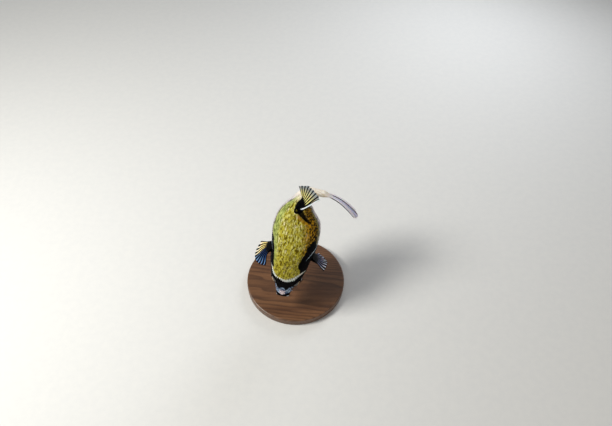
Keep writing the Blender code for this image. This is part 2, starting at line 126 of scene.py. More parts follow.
# Other swellings and hollows of the skin, as (height, half width) in mm, and where they are
NOSTRIL_MOUND = (0.7, 1.9)
SNOUT_HOLLOW = (-0.7, 5.0)
SNOUT_HOLLOW_PLACE = (25.0, 22.0)
GILL_PLACE = 0.338 * LENGTH_MM
GILL_HEIGHT = -0.012 * LENGTH_MM
GILL_HALF_LENGTH = 0.046 * LENGTH_MM
GILL_SLIT = (-2.6, 0.75)
GILL_LIP = (0.9, 1.3)
GILL_LIP_AHEAD = 1.7
PECTORAL_MOUND = (1.3, 5.5)
PECTORAL_MOUND_PLACE = (0.388 * LENGTH_MM, -2.5)
FIN_MOUND = (1.0, 4.2)
FIN_MOUND_PLACE = 0.772 * LENGTH_MM
LIP_GROOVES = 34
LIP_GROOVE_DEPTH = 0.13
FOLD_DEPTH = 2.3
FOLD_BROW = (0.8, 2.4)
FOLD_BROW_AWAY = 3.2
WRINKLE_HEIGHT = 0.5
WRINKLE_SPACING = 6.4

# The mask's edge on one side, as (place along, degrees round from the ridge of the back)
MASK_EDGE = (
    (0.173, 0), (0.183, 10), (0.193, 20), (0.205, 31), (0.222, 41), (0.238, 48), (0.254, 54),
    (0.268, 61), (0.281, 67), (0.273, 57), (0.263, 50), (0.263, 45), (0.269, 41), (0.310, 37),
    (0.332, 35), (0.366, 38), (0.400, 40), (0.424, 41), (0.449, 44), (0.481, 47), (0.505, 52),
    (0.512, 60), (0.500, 72), (0.480, 82), (0.462, 92), (0.440, 105), (0.404, 114), (0.345, 115),
    (0.280, 112), (0.220, 109), (0.170, 108), (0.122, 106), (0.086, 98), (0.070, 84), (0.072, 70),
    (0.094, 60), (0.118, 53), (0.129, 46), (0.125, 38), (0.106, 31), (0.084, 26), (0.075, 21),
    (0.084, 16), (0.098, 10), (0.104, 0),
)

# How far the mask is skewed round towards the right at each place along, in degrees
MASK_SKEW = (
    (0.0, 10), (0.10, 9), (0.145, 6), (0.19, 0.5), (0.21, 7), (0.23, 9), (0.256, 8), (0.28, 6),
    (0.31, 13), (0.40, 14.5), (0.50, 13), (0.60, 8), (1.0, 5),
)

# The white line that edges the mask, with its half widths and its teeth in mm
WHITE_LINE = (
    (0.181, 0), (0.190, 11), (0.199, 21), (0.211, 31), (0.228, 39.5), (0.242, 45), (0.257, 50),
    (0.270, 57), (0.283, 67),
)
WHITE_LINE_WIDTHS = (1.7, 1.6, 1.5, 1.45, 1.5, 1.5, 1.3, 0.9, 0.25)
TOOTH_DEPTH = 0.85
TOOTH_SPACING = 2.5

# The pale line through the black round the pectoral fin, with its half widths in mm
PALE_LINE = ((0.376, 56), (0.409, 64), (0.438, 71), (0.455, 82), (0.482, 89), (0.520, 95))
PALE_LINE_WIDTHS = (0.35, 0.75, 0.9, 1.0, 1.1, 1.2)

# The fold that the bend of the tail presses into the left flank, and the golden ridge ahead of it
FLANK_FOLD = ((0.733, 1), (0.712, 12), (0.691, 20), (0.669, 28), (0.653, 36), (0.638, 42))
FLANK_FOLD_WIDTHS = (3.9, 3.8, 3.4, 2.7, 1.8, 0.3)
GOLDEN_RIDGE = ((0.700, -4), (0.684, 4), (0.655, 17), (0.624, 34))
GOLDEN_RIDGE_WIDTHS = (0.5, 1.4, 1.5, 0.8)

# Patches as (along, round from the ridge or the belly, half length, half width), in mm
DORSAL_PATCH = (142.6, -0.4, 9.2, 6.8)
ANAL_PATCH = (143.5, 0.0, 9.0, 4.5)
WARM_PATCH = (141.0, 15.0, 9.0, 7.0)

# The black ring ahead of the dorsal fin's patch, in mm
RING_PLACE = (136.9, -3.2)
RING_RADII = (1.3, 2.4, 4.3)

# Patches as (strength, degrees round, place along): where each starts, is full, fades and ends
# Golden brown of the left flank, partly painted shade of the side turned from the light
GOLD_AND_SHADE_PATCHES = ((1.0, (6, 36, 50, 66), (0.38, 0.46, 0.74, 0.82)),)
# Painted shade on the left flank, which faces away from the light, and under the dorsal fin
PAINTED_SHADE_PATCHES = (
    (1.0, (26, 46, 62, 72), (0.44, 0.48, 0.54, 0.68)),
    (0.8, (12, 24, 44, 60), (0.66, 0.70, 0.75, 0.80)),
    (0.85, (38, 48, 57, 64), (0.50, 0.54, 0.70, 0.76)),
)

# Photograph: its size, the point of it that shows the middle of the body, the camera and the lens
IMAGE_SIZE = (612, 426)
MIDDLE_PIXEL = (282.6, 239.2)
BODY_MIDDLE = (0.0, 0.46, -0.01)
CAMERA_AZIMUTH = math.radians(1.0)
CAMERA_ELEVATION = math.radians(50.3)
CAMERA_DISTANCE = 0.85
LENS = 35.1
SENSOR = 36.0

LEFT_AND_RIGHT = (1, -1)
rng = np.random.default_rng(11)


def smooth(points, x):
    """Values at x of the smooth curve that the solids' lines follow."""
    places, values = np.array(points, float).T
    chords = np.diff(values) / np.diff(places)
    slopes = (values[2:] - values[:-2]) / (places[2:] - places[:-2]) * (chords[1:] * chords[:-1] > 0)
    slopes = np.concatenate([chords[:1], slopes, chords[-1:]])
    i = np.clip(np.searchsorted(places, x, side="right") - 1, 0, len(places) - 2)
    width = places[i + 1] - places[i]
    t = (x - places[i]) / width
    return (
        (2 * t**3 - 3 * t**2 + 1) * values[i]
        + (t**3 - 2 * t**2 + t) * width * slopes[i]
        + (3 * t**2 - 2 * t**3) * values[i + 1]
        + (t**3 - t**2) * width * slopes[i + 1]
    )


def spine():
    """Points down the middle of the level fish, and the way the tail has turned at each."""
    step = SPINE_TURN[-1][0] / SPINE_STEPS
    turn = np.radians(smooth(SPINE_TURN, np.arange(SPINE_STEPS + 1) * step))
    x = np.concatenate([[0], np.cumsum(np.sin(turn) * step)[:-1]])
    y = np.concatenate([[0], np.cumsum(np.cos(turn) * step)[:-1]])
    return x, y, turn


SPINE = spine()


def place_level(along, left, up):
    """Points of the level fish, from shares of its length along its bent spine."""
    along = np.asarray(along, float)
    at = np.clip(along / SPINE_TURN[-1][0] * SPINE_STEPS, 0, SPINE_STEPS)
    x, y, turn = (np.interp(at, np.arange(SPINE_STEPS + 1), column) for column in SPINE)
    y = np.where(along < 0, along, y)
    points = np.stack([x + left * np.cos(turn), y - left * np.sin(turn), up + 0 * x], -1)
    return points * STANDARD_LENGTH


TILT = np.array(Matrix.Rotation(NOSE_DOWN, 3, "X"))
balance_point = TILT @ place_level(*BALANCE)
LIFT = np.array([-balance_point[0], -balance_point[1], BASE_HEIGHT + SNOUT_CLEARANCE])


def place(along, left, up):
    """The same points where they are over the stand."""
    return place_level(along, left, up) @ TILT.T + LIFT


def turned(direction):
    """A direction of the level fish, turned as it is over the stand."""
    direction = np.array(direction, float)
    return TILT @ (direction / np.linalg.norm(direction))


def unit(vectors):
    return vectors / np.maximum(np.linalg.norm(vectors, axis=-1, keepdims=True), 1e-12)


def section(along, angle):
    """Left and up of the body at this angle from the ridge of the back, towards the left."""
    waist = smooth(WIDEST_HEIGHT, along)
    power = 2.0 / smooth(SQUARENESS, along)
    side, top = np.sin(angle), np.cos(angle)
    height = np.where(top > 0, smooth(BACK_LINE, along) - waist, waist - smooth(BELLY_LINE, along))
    left = smooth(HALF_WIDTH, along) * np.sign(side) * np.abs(side) ** power
    return left, waist + height * np.sign(top) * np.abs(top) ** power


def middle_and_half_height(along):
    top, bottom = smooth(BACK_LINE, along), smooth(BELLY_LINE, along)
    return (top + bottom) / 2, (top - bottom) / 2


def body(along, angle):
    return place(along, *section(along, angle))


def facing(along, angle):
    """The way the body faces there."""
    nudge = 0.01
    across = body(along, angle + nudge) - body(along, angle - nudge)
    back = body(along + nudge, angle) - body(along - nudge, angle)
    return unit(np.cross(across, back))


def angle_at(along, up, side):
    """The angle round the body at this height on the left (1) or right (-1)."""
    waist = smooth(WIDEST_HEIGHT, along)
    height = np.where(up > waist, smooth(BACK_LINE, along) - waist, waist - smooth(BELLY_LINE, along))
    share = np.minimum(np.abs(up - waist) / height, 1.0)
    angle = np.arccos(share ** (smooth(SQUARENESS, along) / 2.0))
    return side * np.where(up > waist, angle, math.pi - angle)


def skin_at(along, up, side):
    angle = angle_at(along, up, side)
    return body(along, angle), facing(along, angle)


def arc_mm(along, angle, steps):
    """How far round from the ridge this angle lies, in mm."""
    left, up = section(along, np.linspace(0, angle, steps))
    return np.hypot(np.diff(left), np.diff(up)).sum() * LENGTH_MM


def ramp(low, high, x):
    """0 below low, 1 above high, and a smooth rise between them."""
    t = np.clip((x - low) / (high - low), 0, 1)
    return t * t * (3 - 2 * t)


def window(x, start, full, fading, end):
    """1 between full and fading, and a smooth fall to 0 at start and end."""
    return ramp(start, full, x) * ramp(end, fading, x)


def hump(x, width):
    return np.exp(-((x / width) ** 2))


def mound(distance, shape):
    height, width = shape
    return height * hump(distance, width)


def waves(points, size, seed, count=14):
    """Gentle even noise about 0, made of plane waves about size long."""
    draw = np.random.default_rng(seed)
    total = np.zeros(points.shape[:-1])
    for _ in range(count):
        way = unit(draw.normal(size=3)) * 2 * math.pi / (size * draw.uniform(0.7, 1.4))
        total += np.sin(points @ way + draw.uniform(0, 2 * math.pi))
    return total / math.sqrt(count)


def new_object(name, data):
    obj = bpy.data.objects.new(name, data)
    bpy.context.scene.collection.objects.link(obj)
    return obj


def add_piece(name, points, faces, measures, material):
    """A visible piece fixed to the part's one body, made from arrays with faces all of one size.

    Each measure has a number or a vector for every point, and the paint goes by them.
    """
    mesh = bpy.data.meshes.new(name)
    points = np.asarray(points, np.float32).reshape(-1, 3)
    faces = np.asarray(faces, np.int32)
    mesh.vertices.add(len(points))
    mesh.vertices.foreach_set("co", points.ravel())
    mesh.loops.add(faces.size)
    mesh.loops.foreach_set("vertex_index", faces.ravel())
    mesh.polygons.add(len(faces))
    mesh.polygons.foreach_set("loop_start", np.arange(0, faces.size, faces.shape[1], dtype=np.int32))
    for key, values in measures.items():
        values = np.asarray(values, np.float32)
        kind, field = ("FLOAT", "value") if values.size == len(points) else ("FLOAT_VECTOR", "vector")
        mesh.attributes.new(key, kind, "POINT").data.foreach_set(field, values.ravel())
    mesh.update(calc_edges=True)
    mesh.validate()
    mesh.materials.append(material)
    mesh.shade_smooth()
    piece = new_object(name, mesh)
    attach(piece, "root")
    return piece


def grid_faces(rows, columns, closed=False):
    """The quads of a grid of points, its columns joined round into rings if closed."""
    spans = columns if closed else columns - 1
    i, k = np.meshgrid(np.arange(rows - 1) * columns, np.arange(spans), indexing="ij")
    after = (k + 1) % columns
    return np.stack([i + k, i + after, i + columns + after, i + columns + k], -1).reshape(-1, 4)


def tube_faces(rings, sides):
    """The quads of rings of points joined into a tube, with both of its ends closed."""
    k = np.arange(sides // 2 - 1)
    cap = np.stack([k, k + 1, sides - 2 - k, sides - 1 - k], 1)
    last = (rings - 1) * sides
    return np.concatenate([grid_faces(rings, sides, closed=True), cap[:, ::-1], cap + last])


def sheet_faces(rows, columns):
    """The quads of two like grids joined into a closed sheet: top, underside and rim."""
    count = rows * columns
    top = grid_faces(rows, columns)
    rim = np.concatenate([
        np.arange(columns), np.arange(1, rows) * columns + columns - 1,
        (rows - 1) * columns + np.arange(columns - 2, -1, -1), np.arange(rows - 2, 0, -1) * columns,
    ])
    after = np.roll(rim, -1)
    sides = np.stack([after, rim, rim + count, after + count], 1)
    return np.concatenate([top, top[:, ::-1] + count, sides])


# The body's skin: rings from inside the mouth, round the lips and back to the tail
def skin_rings():
    """Where each ring lies along the fish, how far it has curled in at the lips, and its scale."""
    turn = math.pi * (1 - np.arange(LIP_RINGS) / LIP_RINGS)
    along = [[MOUTH_DEPTH + 0.004], LIP_START - LIP_REACH * np.sin(turn)]
    curl = [[1.0], (1 - np.cos(turn)) / 2]
    head = np.linspace(LIP_START, HEAD_END, HEAD_RINGS)
    rear = np.linspace(HEAD_END, ROUND_END, REAR_RINGS)[1:]
    end = math.pi / 2 * np.arange(1, TAIL_END_RINGS + 1) / (TAIL_END_RINGS + 0.5)
    along += [head, rear, ROUND_END + (1 - ROUND_END) * np.sin(end)]
    curl += [0 * head, 0 * rear, 0 * end]
    scale = np.concatenate([np.ones(1 + LIP_RINGS + len(head) + len(rear)), np.cos(end)])
    return np.concatenate(along), np.concatenate(curl), scale


def skin_grid():
    """The skin before its folds: points, places in the straightened fish in mm, and measures."""
    along, curl, scale = (column[:, None] for column in skin_rings())
    angle = np.linspace(-math.pi, math.pi, SIDES, endpoint=False)[None, :] + 0 * along
    shape_at = np.maximum(along, LIP_START) + 0 * angle
    shape_at[0] = LIP_START
    left, up = section(shape_at, angle)
    middle, half_height = middle_and_half_height(shape_at)
    left = left * scale * (1 - LIP_CURL_SIDE * curl / smooth(HALF_WIDTH, shape_at))
    up = middle + (up - middle) * scale * (1 - LIP_CURL_HEIGHT * curl / half_height)
    along = along + 0 * angle
    rest = np.stack([left, along, up], -1) * LENGTH_MM
    steps = np.linalg.norm(np.diff(rest, axis=1), axis=-1)
    girth = np.concatenate([0 * steps[:, :1], np.cumsum(steps, axis=1)], 1)
    girth = girth - girth[:, SIDES // 2, None]
    return place(along, left, up), rest, along, angle, girth


def grid_normals(points):
    across = np.roll(points, -1, 1) - np.roll(points, 1, 1)
    return unit(np.cross(across, np.gradient(points, axis=0)))


def unrolled(edge):
    """A line given as (place along, degrees round), on the skin unrolled flat in mm."""
    knots = np.arange(len(edge))
    t = np.linspace(0, len(edge) - 1, len(edge) * 6)
    along, degrees = (smooth(np.stack([knots, column], 1), t) for column in np.transpose(edge))
    ends = zip(along, np.radians(degrees))
    return np.array([(arc_mm(at, end, 30), at * LENGTH_MM) for at, end in ends])


def stroke_depth(x, y, line, half_widths=(0.0, 0.0)):
    """How deep in a tapered stroke along a line each point lies, in mm, below 0 outside it."""
    line = unrolled(line)
    shares = np.linspace(0, 1, len(line))
    widths = np.interp(shares, np.linspace(0, 1, len(half_widths)), half_widths)
    best = np.full(x.shape, -1e9)
    for (ax, ay), (bx, by), near, far in zip(line, line[1:], widths, widths[1:]):
        dx, dy = bx - ax, by - ay
        t = np.clip(((x - ax) * dx + (y - ay) * dy) / (dx * dx + dy * dy + 1e-12), 0, 1)
        out = np.hypot(x - ax - t * dx, y - ay - t * dy)
        best = np.maximum(best, near + (far - near) * t - out)
    return best


def inside(x, y, outline):
    """Whether each point lies inside a closed outline."""
    within = np.zeros(x.shape, bool)
    for (ax, ay), (bx, by) in zip(outline, np.roll(outline, -1, 0)):
        crosses = (ay > y) != (by > y)
        within ^= crosses & (x < (bx - ax) * (y - ay) / (by - ay + 1e-12) + ax)
    return within


def mask_depth(across, along_mm):
    """How deep in the mask each point lies, in mm, below 0 outside it."""
    depth = -stroke_depth(across, along_mm, MASK_EDGE)
    return np.where(inside(across, along_mm, unrolled(MASK_EDGE)), depth, -depth)


def skewed(along, angle, girth):
    """How far round each point lies in the mask's own measure, alike on both sides."""
    skew = np.radians(smooth(MASK_SKEW, np.clip(along, 0, 1)))
    return np.abs(girth + skew * np.gradient(girth, axis=1) / np.gradient(angle, axis=1))


def from_belly(girth):
    """How far round from the line of the belly each point of the skin lies, in mm."""
    return np.abs(np.abs(girth) - girth.max(1, keepdims=True))


def oval_depth(along_mm, girth, patch):
    """How deep in an oval patch each point lies, in mm, below 0 outside it."""
    middle_along, middle_girth, half_length, half_width = patch
    out = np.hypot((along_mm - middle_along) / half_length, (girth - middle_girth) / half_width)
    return (1 - out) * min(half_length, half_width)


def eye_axis(side):
    return turned((EYE_AXIS[0] * side, EYE_AXIS[1], EYE_AXIS[2]))


def eye_centre(side):
    return skin_at(EYE_PLACE, EYE_HEIGHT, side)[0] - eye_axis(side) * EYE_SINK * STANDARD_LENGTH


def eye_distance(points, side):
    """How far each point lies from the eye's axis in mm, and far off behind the eye."""
    away = points - eye_centre(side)
    depth = away @ eye_axis(side)
    out = np.linalg.norm(away - depth[..., None] * eye_axis(side), axis=-1)
    return np.where(depth > 0, out, 1.0) / MM


def skin_relief(points, rest, along, angle, girth):
    """How far the skin stands out at each point, in mm, and how much painted shade its fold and wrinkle
    valleys get.
    """
    along_mm, height = rest[..., 1], rest[..., 2]
    relief = sum(height_mm * waves(rest, size, seed) for height_mm, size, seed in SKIN_WAVES)
    relief *= ramp(0.03, 0.12, along)
    nostril_girth = arc_mm(NOSTRIL_PLACE, float(angle_at(NOSTRIL_PLACE, NOSTRIL_HEIGHT, 1)), 40)
    for side in LEFT_AND_RIGHT:
        out = eye_distance(points, side) - LID_RADIUS
        for away, *shape in LID_RINGS:
            relief += mound(out - away, shape)
        relief -= SOCKET_DEPTH * ramp(-0.2, -1.6, out)
        nostril = np.hypot(along_mm - NOSTRIL_PLACE * LENGTH_MM, girth - side * nostril_girth)
        relief += mound(nostril, NOSTRIL_MOUND)
        place_along, place_round = SNOUT_HOLLOW_PLACE
        hollow = np.hypot((along_mm - place_along) / 1.3, girth - side * place_round)
        relief += mound(hollow, SNOUT_HOLLOW)
    slit = along_mm - GILL_PLACE - 0.9 * np.cos(height / 7.0)
    reach = hump(height - GILL_HEIGHT, GILL_HALF_LENGTH) ** 2
    relief += reach * (mound(slit + GILL_LIP_AHEAD, GILL_LIP) + mound(slit, GILL_SLIT))
    place_along, place_up = PECTORAL_MOUND_PLACE
    relief += mound(np.hypot(along_mm - place_along, (height - place_up) / 1.35), PECTORAL_MOUND)
    for off in (np.abs(girth), from_belly(girth)):
        relief += mound(np.hypot((along_mm - FIN_MOUND_PLACE) / 1.7, off), FIN_MOUND)
    grooves = np.cos(angle * LIP_GROOVES + 1.5 * np.sin(angle * 3))
    relief += LIP_GROOVE_DEPTH * ramp(0.035, 0.012, along) * grooves
    fold = stroke_depth(girth, along_mm, FLANK_FOLD, FLANK_FOLD_WIDTHS)
    relief += mound(fold + FOLD_BROW_AWAY, FOLD_BROW) - FOLD_DEPTH * ramp(-1.2, 1.6, fold)
    pinch = window(along, 0.70, 0.76, 0.88, 0.95) * ramp(0.2, 0.9, np.sin(angle))
    wrinkle = np.cos((along_mm + 1.2 * np.sin(girth / 5.0)) * 2 * math.pi / WRINKLE_SPACING)
    relief += WRINKLE_HEIGHT * pinch * wrinkle
    # painted shade: full in the fold, weaker in the valleys of the wrinkles
    crease = ramp(-0.7, 0.9, fold) + 0.30 * pinch * ramp(0.0, -1.0, wrinkle)
    return relief, np.clip(crease, 0, 1)


def black_depth(along_mm, girth):
    """How deep in the black of the two patches and the ring each point lies, in mm."""
    inner, middle, outer = RING_RADII
    spot = np.hypot(along_mm - RING_PLACE[0], girth - RING_PLACE[1])
    depth = np.maximum.reduce([
        oval_depth(along_mm, girth, DORSAL_PATCH),
        oval_depth(along_mm, from_belly(girth), ANAL_PATCH),
        np.minimum(outer - spot, spot - inner),
    ])
    return np.where(spot < middle, np.minimum(depth, spot - inner), depth)


def white_depth(across, along_mm, girth):
    """How deep in the white line each point lies, in mm, with the teeth of both its edges."""
    teeth = TOOTH_DEPTH * np.cos(2 * math.pi * girth / TOOTH_SPACING + 1.4 * np.sin(girth / 4.0))
    teeth *= 1 + 0.5 * hump(girth, 9.0)
    teeth -= (girth < 0) * (0.3 + 0.8 * hump(girth + 11.5, 3.2))
    return stroke_depth(across, along_mm, WHITE_LINE, WHITE_LINE_WIDTHS) + teeth


def patches(degrees, along, spans):
    shares = [strength * window(degrees, *r) * window(along, *a) for strength, r, a in spans]
    return np.maximum.reduce(shares)


def skin_measures(points, rest, along, angle, girth, crease):
    """What the skin's paint goes by at each point."""
    along_mm, degrees = rest[..., 1], np.degrees(angle)
    across = skewed(along, angle, girth)
    ridge = stroke_depth(girth, along_mm, GOLDEN_RIDGE, GOLDEN_RIDGE_WIDTHS)
    warm_along, warm_girth, warm_length, warm_width = WARM_PATCH
    warm = hump(along_mm - warm_along, warm_length) * hump(girth - warm_girth, warm_width)
    frayed = 1.1 * ramp(0.38, 0.46, along) * waves(rest, 4.5, 7)
    drop = 0.11 * ramp(0.75, 0.84, along) - 0.04 * (angle < 0) * ramp(0.85, 0.70, along)
    return {
        "rest_mm": rest,
        "mask_mm": mask_depth(across, along_mm) + frayed,
        "white_mm": white_depth(across, along_mm, girth),
        "line_mm": stroke_depth(across, along_mm, PALE_LINE, PALE_LINE_WIDTHS),
        "blotch_mm": black_depth(along_mm, girth),
        "side": np.abs(angle) / math.pi + drop,
        "crease": crease,
        "warmth": np.maximum(warm, ramp(-2.2, 0.6, ridge)),
        # golden brown, partly painted shade of the left flank
        "gold": patches(degrees, along, GOLD_AND_SHADE_PATCHES),
        # painted shade on the left flank
        "dusk": patches(degrees, along, PAINTED_SHADE_PATCHES),
        # greener tone of the right flank, partly painted light on the side that faces the light
        "green": ramp(-32, -54, degrees) * ramp(0.24, 0.34, along),
        "eye_mm": np.minimum(eye_distance(points, 1), eye_distance(points, -1)),
        "tip": 0 * along,
    }


def skin_piece(material):
    """The one skin of the head, trunk and tail. Returns its grid, for what grows on it."""
    points, rest, along, angle, girth = skin_grid()
    relief, crease = skin_relief(points, rest, along, angle, girth)
    sink = SKIN_DEPTH * (1 - ramp(0.045, 0.026, along))
    points = points + grid_normals(points) * ((relief - sink) * MM)[..., None]
    measures = skin_measures(points, rest, along, angle, girth, crease)
    skin = add_piece("skin", points, tube_faces(*along.shape), measures, material)
    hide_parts("head", "trunk", "tail_root", "tail_stem")
    return {"points": points, "normals": grid_normals(points), "along": along, "girth": girth,
            "measures": measures}


# Prickles: short spines that lie back along the skin, in mm
PRICKLE_SPACING = 1.75
PRICKLE_LENGTH = 1.15
PRICKLE_RADIUS = 0.20
EYE_CLEARANCE = 8.2
PRICKLE_SIDES = 3

# How far a prickle strays: round the body in shares of the spacing, along it in rings of the skin
SCATTER_ROUND = 0.38
SCATTER_ALONG = 1.4

# Each prickle's patch on the skin's texture map, as a share of the map
UV_PATCH = 0.003

# Each ring of a prickle, as shares of its length, its radius and its rise over the skin
PRICKLE_RINGS = ((0.0, 1.0, -0.25), (0.45, 0.72, 0.62), (1.0, 0.05, 0.80))


def prickle_roots(grid):
    """Evenly scattered places on the skin's grid, fewer on the face and none on the snout."""
    along, girth = grid["along"], grid["girth"]
    first = 1 + LIP_RINGS
    found = []
    for count, place_along in enumerate(np.arange(0.10, 0.955, PRICKLE_SPACING / LENGTH_MM)):
        row = first + np.searchsorted(along[first:, 0], place_along) - 1
        spots = int((girth[row, -1] - girth[row, 0]) / PRICKLE_SPACING)
        scatter = rng.uniform(-SCATTER_ROUND, SCATTER_ROUND, spots)
        across = (np.arange(spots) + 0.5 * (count % 2) + scatter) / spots
        rows = row + rng.uniform(-SCATTER_ALONG, SCATTER_ALONG, spots)
        keep = rng.uniform(size=spots) < 0.35 + 0.65 * ramp(0.16, 0.30, place_along)
        found.append(np.stack([rows[keep], across[keep] % 1 * SIDES], 1))
    return np.concatenate(found)


def sample(grid_values, roots):
    """Values of a skin grid at places between its points, round the closed rings."""
    row = np.clip(roots[:, 0].astype(int), 0, len(grid_values) - 2)
    column = roots[:, 1].astype(int) % SIDES
    after = (column + 1) % SIDES
    shape = (-1,) + (1,) * (grid_values.ndim - 2)
    a = (roots[:, 0] - row).reshape(shape)
    b = (roots[:, 1] % 1).reshape(shape)
    above = grid_values[row, column] * (1 - b) + grid_values[row, after] * b
    below = grid_values[row + 1, column] * (1 - b) + grid_values[row + 1, after] * b
    return above * (1 - a) + below * a


def prickle_faces(count):
    """The triangles of all the prickles, each with two bands of sides and two ends."""
    n = PRICKLE_SIDES
    sides = grid_faces(3, n, closed=True)[:, [0, 1, 2, 0, 2, 3]].reshape(-1, 3)
    faces = np.concatenate([sides, [(2, 1, 0), (2 * n, 2 * n + 1, 2 * n + 2)]])
    return (faces + np.arange(count)[:, None, None] * 3 * n).reshape(-1, 3)


def prickles(grid, material):
    roots = prickle_roots(grid)
    eye_gap, blotch, crease = (
        sample(grid["measures"][key], roots) for key in ("eye_mm", "blotch_mm", "crease"))
    roots = roots[(eye_gap > EYE_CLEARANCE) & (blotch < 0.5) & (crease < 0.5)]
    count = len(roots)
    points, normals = sample(grid["points"], roots), unit(sample(grid["normals"], roots))
    along = sample(grid["along"], roots)
    tailward = unit(sample(np.gradient(grid["points"], axis=0), roots))
    sideways = unit(np.cross(normals, tailward))
    lie = unit(tailward + sideways * rng.normal(0, 0.16, (count, 1)))
    size = rng.uniform(0.7, 1.25, (count, 1)) * MM
    size *= 0.55 + 0.45 * ramp(0.15, 0.35, along)[:, None]
    corners = []
    for share, width, rise in PRICKLE_RINGS:
        centre = points + (lie * share * 0.95 + normals * rise * 0.52) * size * PRICKLE_LENGTH
        for k in range(PRICKLE_SIDES):
            turn = 2 * math.pi * k / PRICKLE_SIDES + math.pi / 2
            out = sideways * math.cos(turn) + (normals * 0.6 - lie * 0.4) * math.sin(turn)
            corners.append(centre + out * width * size * PRICKLE_RADIUS)
    measures = {
        key: np.repeat(sample(value, roots).reshape(count, -1), len(corners), 0)
        for key, value in grid["measures"].items()
    }
    measures["tip"] = np.tile(np.repeat([0.0, 0.6, 1.0], PRICKLE_SIDES), count)
    faces = prickle_faces(count)
    coat = add_piece("prickles", np.stack(corners, 1), faces, measures, material)
    root_uv = np.stack([roots[:, 1] / SIDES, along], 1) * (1 - 2 * UV_PATCH)
    spread = np.array([(0.0, 0.0), (1.0, 0.0), (0.5, 0.9)])
    corner_uv = np.concatenate([spread + (0, 0.3 * level) for level in range(3)]) * UV_PATCH
    uv = (root_uv[:, None] + corner_uv).reshape(-1, 2)[faces.ravel()]
    coat.data.uv_layers.new(name="OFBake").uv.foreach_set("vector", uv.astype(np.float32).ravel())


# Fins: branched rays in a thin web, made as one closed mesh each, with thicknesses in mm
COLUMNS_PER_RAY = 14
FIN_ROWS = 72
WEB_THICKNESS = 0.22
RAY_THICKNESS = 0.95
RAY_HALF_WIDTH = 0.20
BRANCH_SPREAD = 0.13
BRANCH_START = 0.55
TWIG_SPREAD = 0.06
TWIG_START = 0.78
SEGMENT_LENGTH = 0.85
SEGMENT_DEPTH = 0.07
WEB_NOTCH = 0.028
RAY_SHORTENING = 0.02
WEB_SLACK = 0.35
FIN_SWAY = 0.55


def fan(root, out, tips, s, r):
    """Points of a fin whose rays leave the skin the way it faces and bend over to their tips."""
    s, r = s[..., None], r[..., None]
    first, middle, last = np.array(tips) @ TILT.T
    ray = first * (2 * (s - 0.5) * (s - 1)) + middle * (4 * s * (1 - s)) + last * (2 * s * (s - 0.5))
    # r (1 - r)^2 is 4/27 where it is greatest
    bow = RAY_BOW * 27 / 4 * r * (1 - r) ** 2
    return root + (ray * r + out * (bow - ROOT_SINK * (1 - r))) * STANDARD_LENGTH


def pectoral_surface(side, tips, s, r):
    along, up = (first + (last - first) * s for first, last in (PECTORAL_PLACE, PECTORAL_HEIGHT))
    root, out = skin_at(along, up, side)
    return fan(root, out, tips, s, r)


def median_surface(places, line, sign, tips, s, r):
    along = places[0] + (places[1] - places[0]) * s
    out = turned((0, 0, sign)) + 0 * along[..., None]
    return fan(place(along, 0 * s, smooth(line, along)), out, tips, s, r)


def tail_fin_surface(s, r):
    start = ROUND_END - 0.01
    reach = TAIL_FIN_LENGTH + 1 - start
    along = start + reach * r * (1 - TAIL_FIN_ROUNDING * (2 * s - 1) ** 2)
    height = (TAIL_FIN_HALF_HEIGHT + TAIL_FIN_SPREAD * r) * (1 - 2 * s)
    across = TAIL_FIN_RIPPLE * np.sin(3 * math.pi * s) * r + TAIL_FIN_LEAN * height * r * (2 - r)
    return place(along, across, TAIL_FIN_HEIGHT + height)


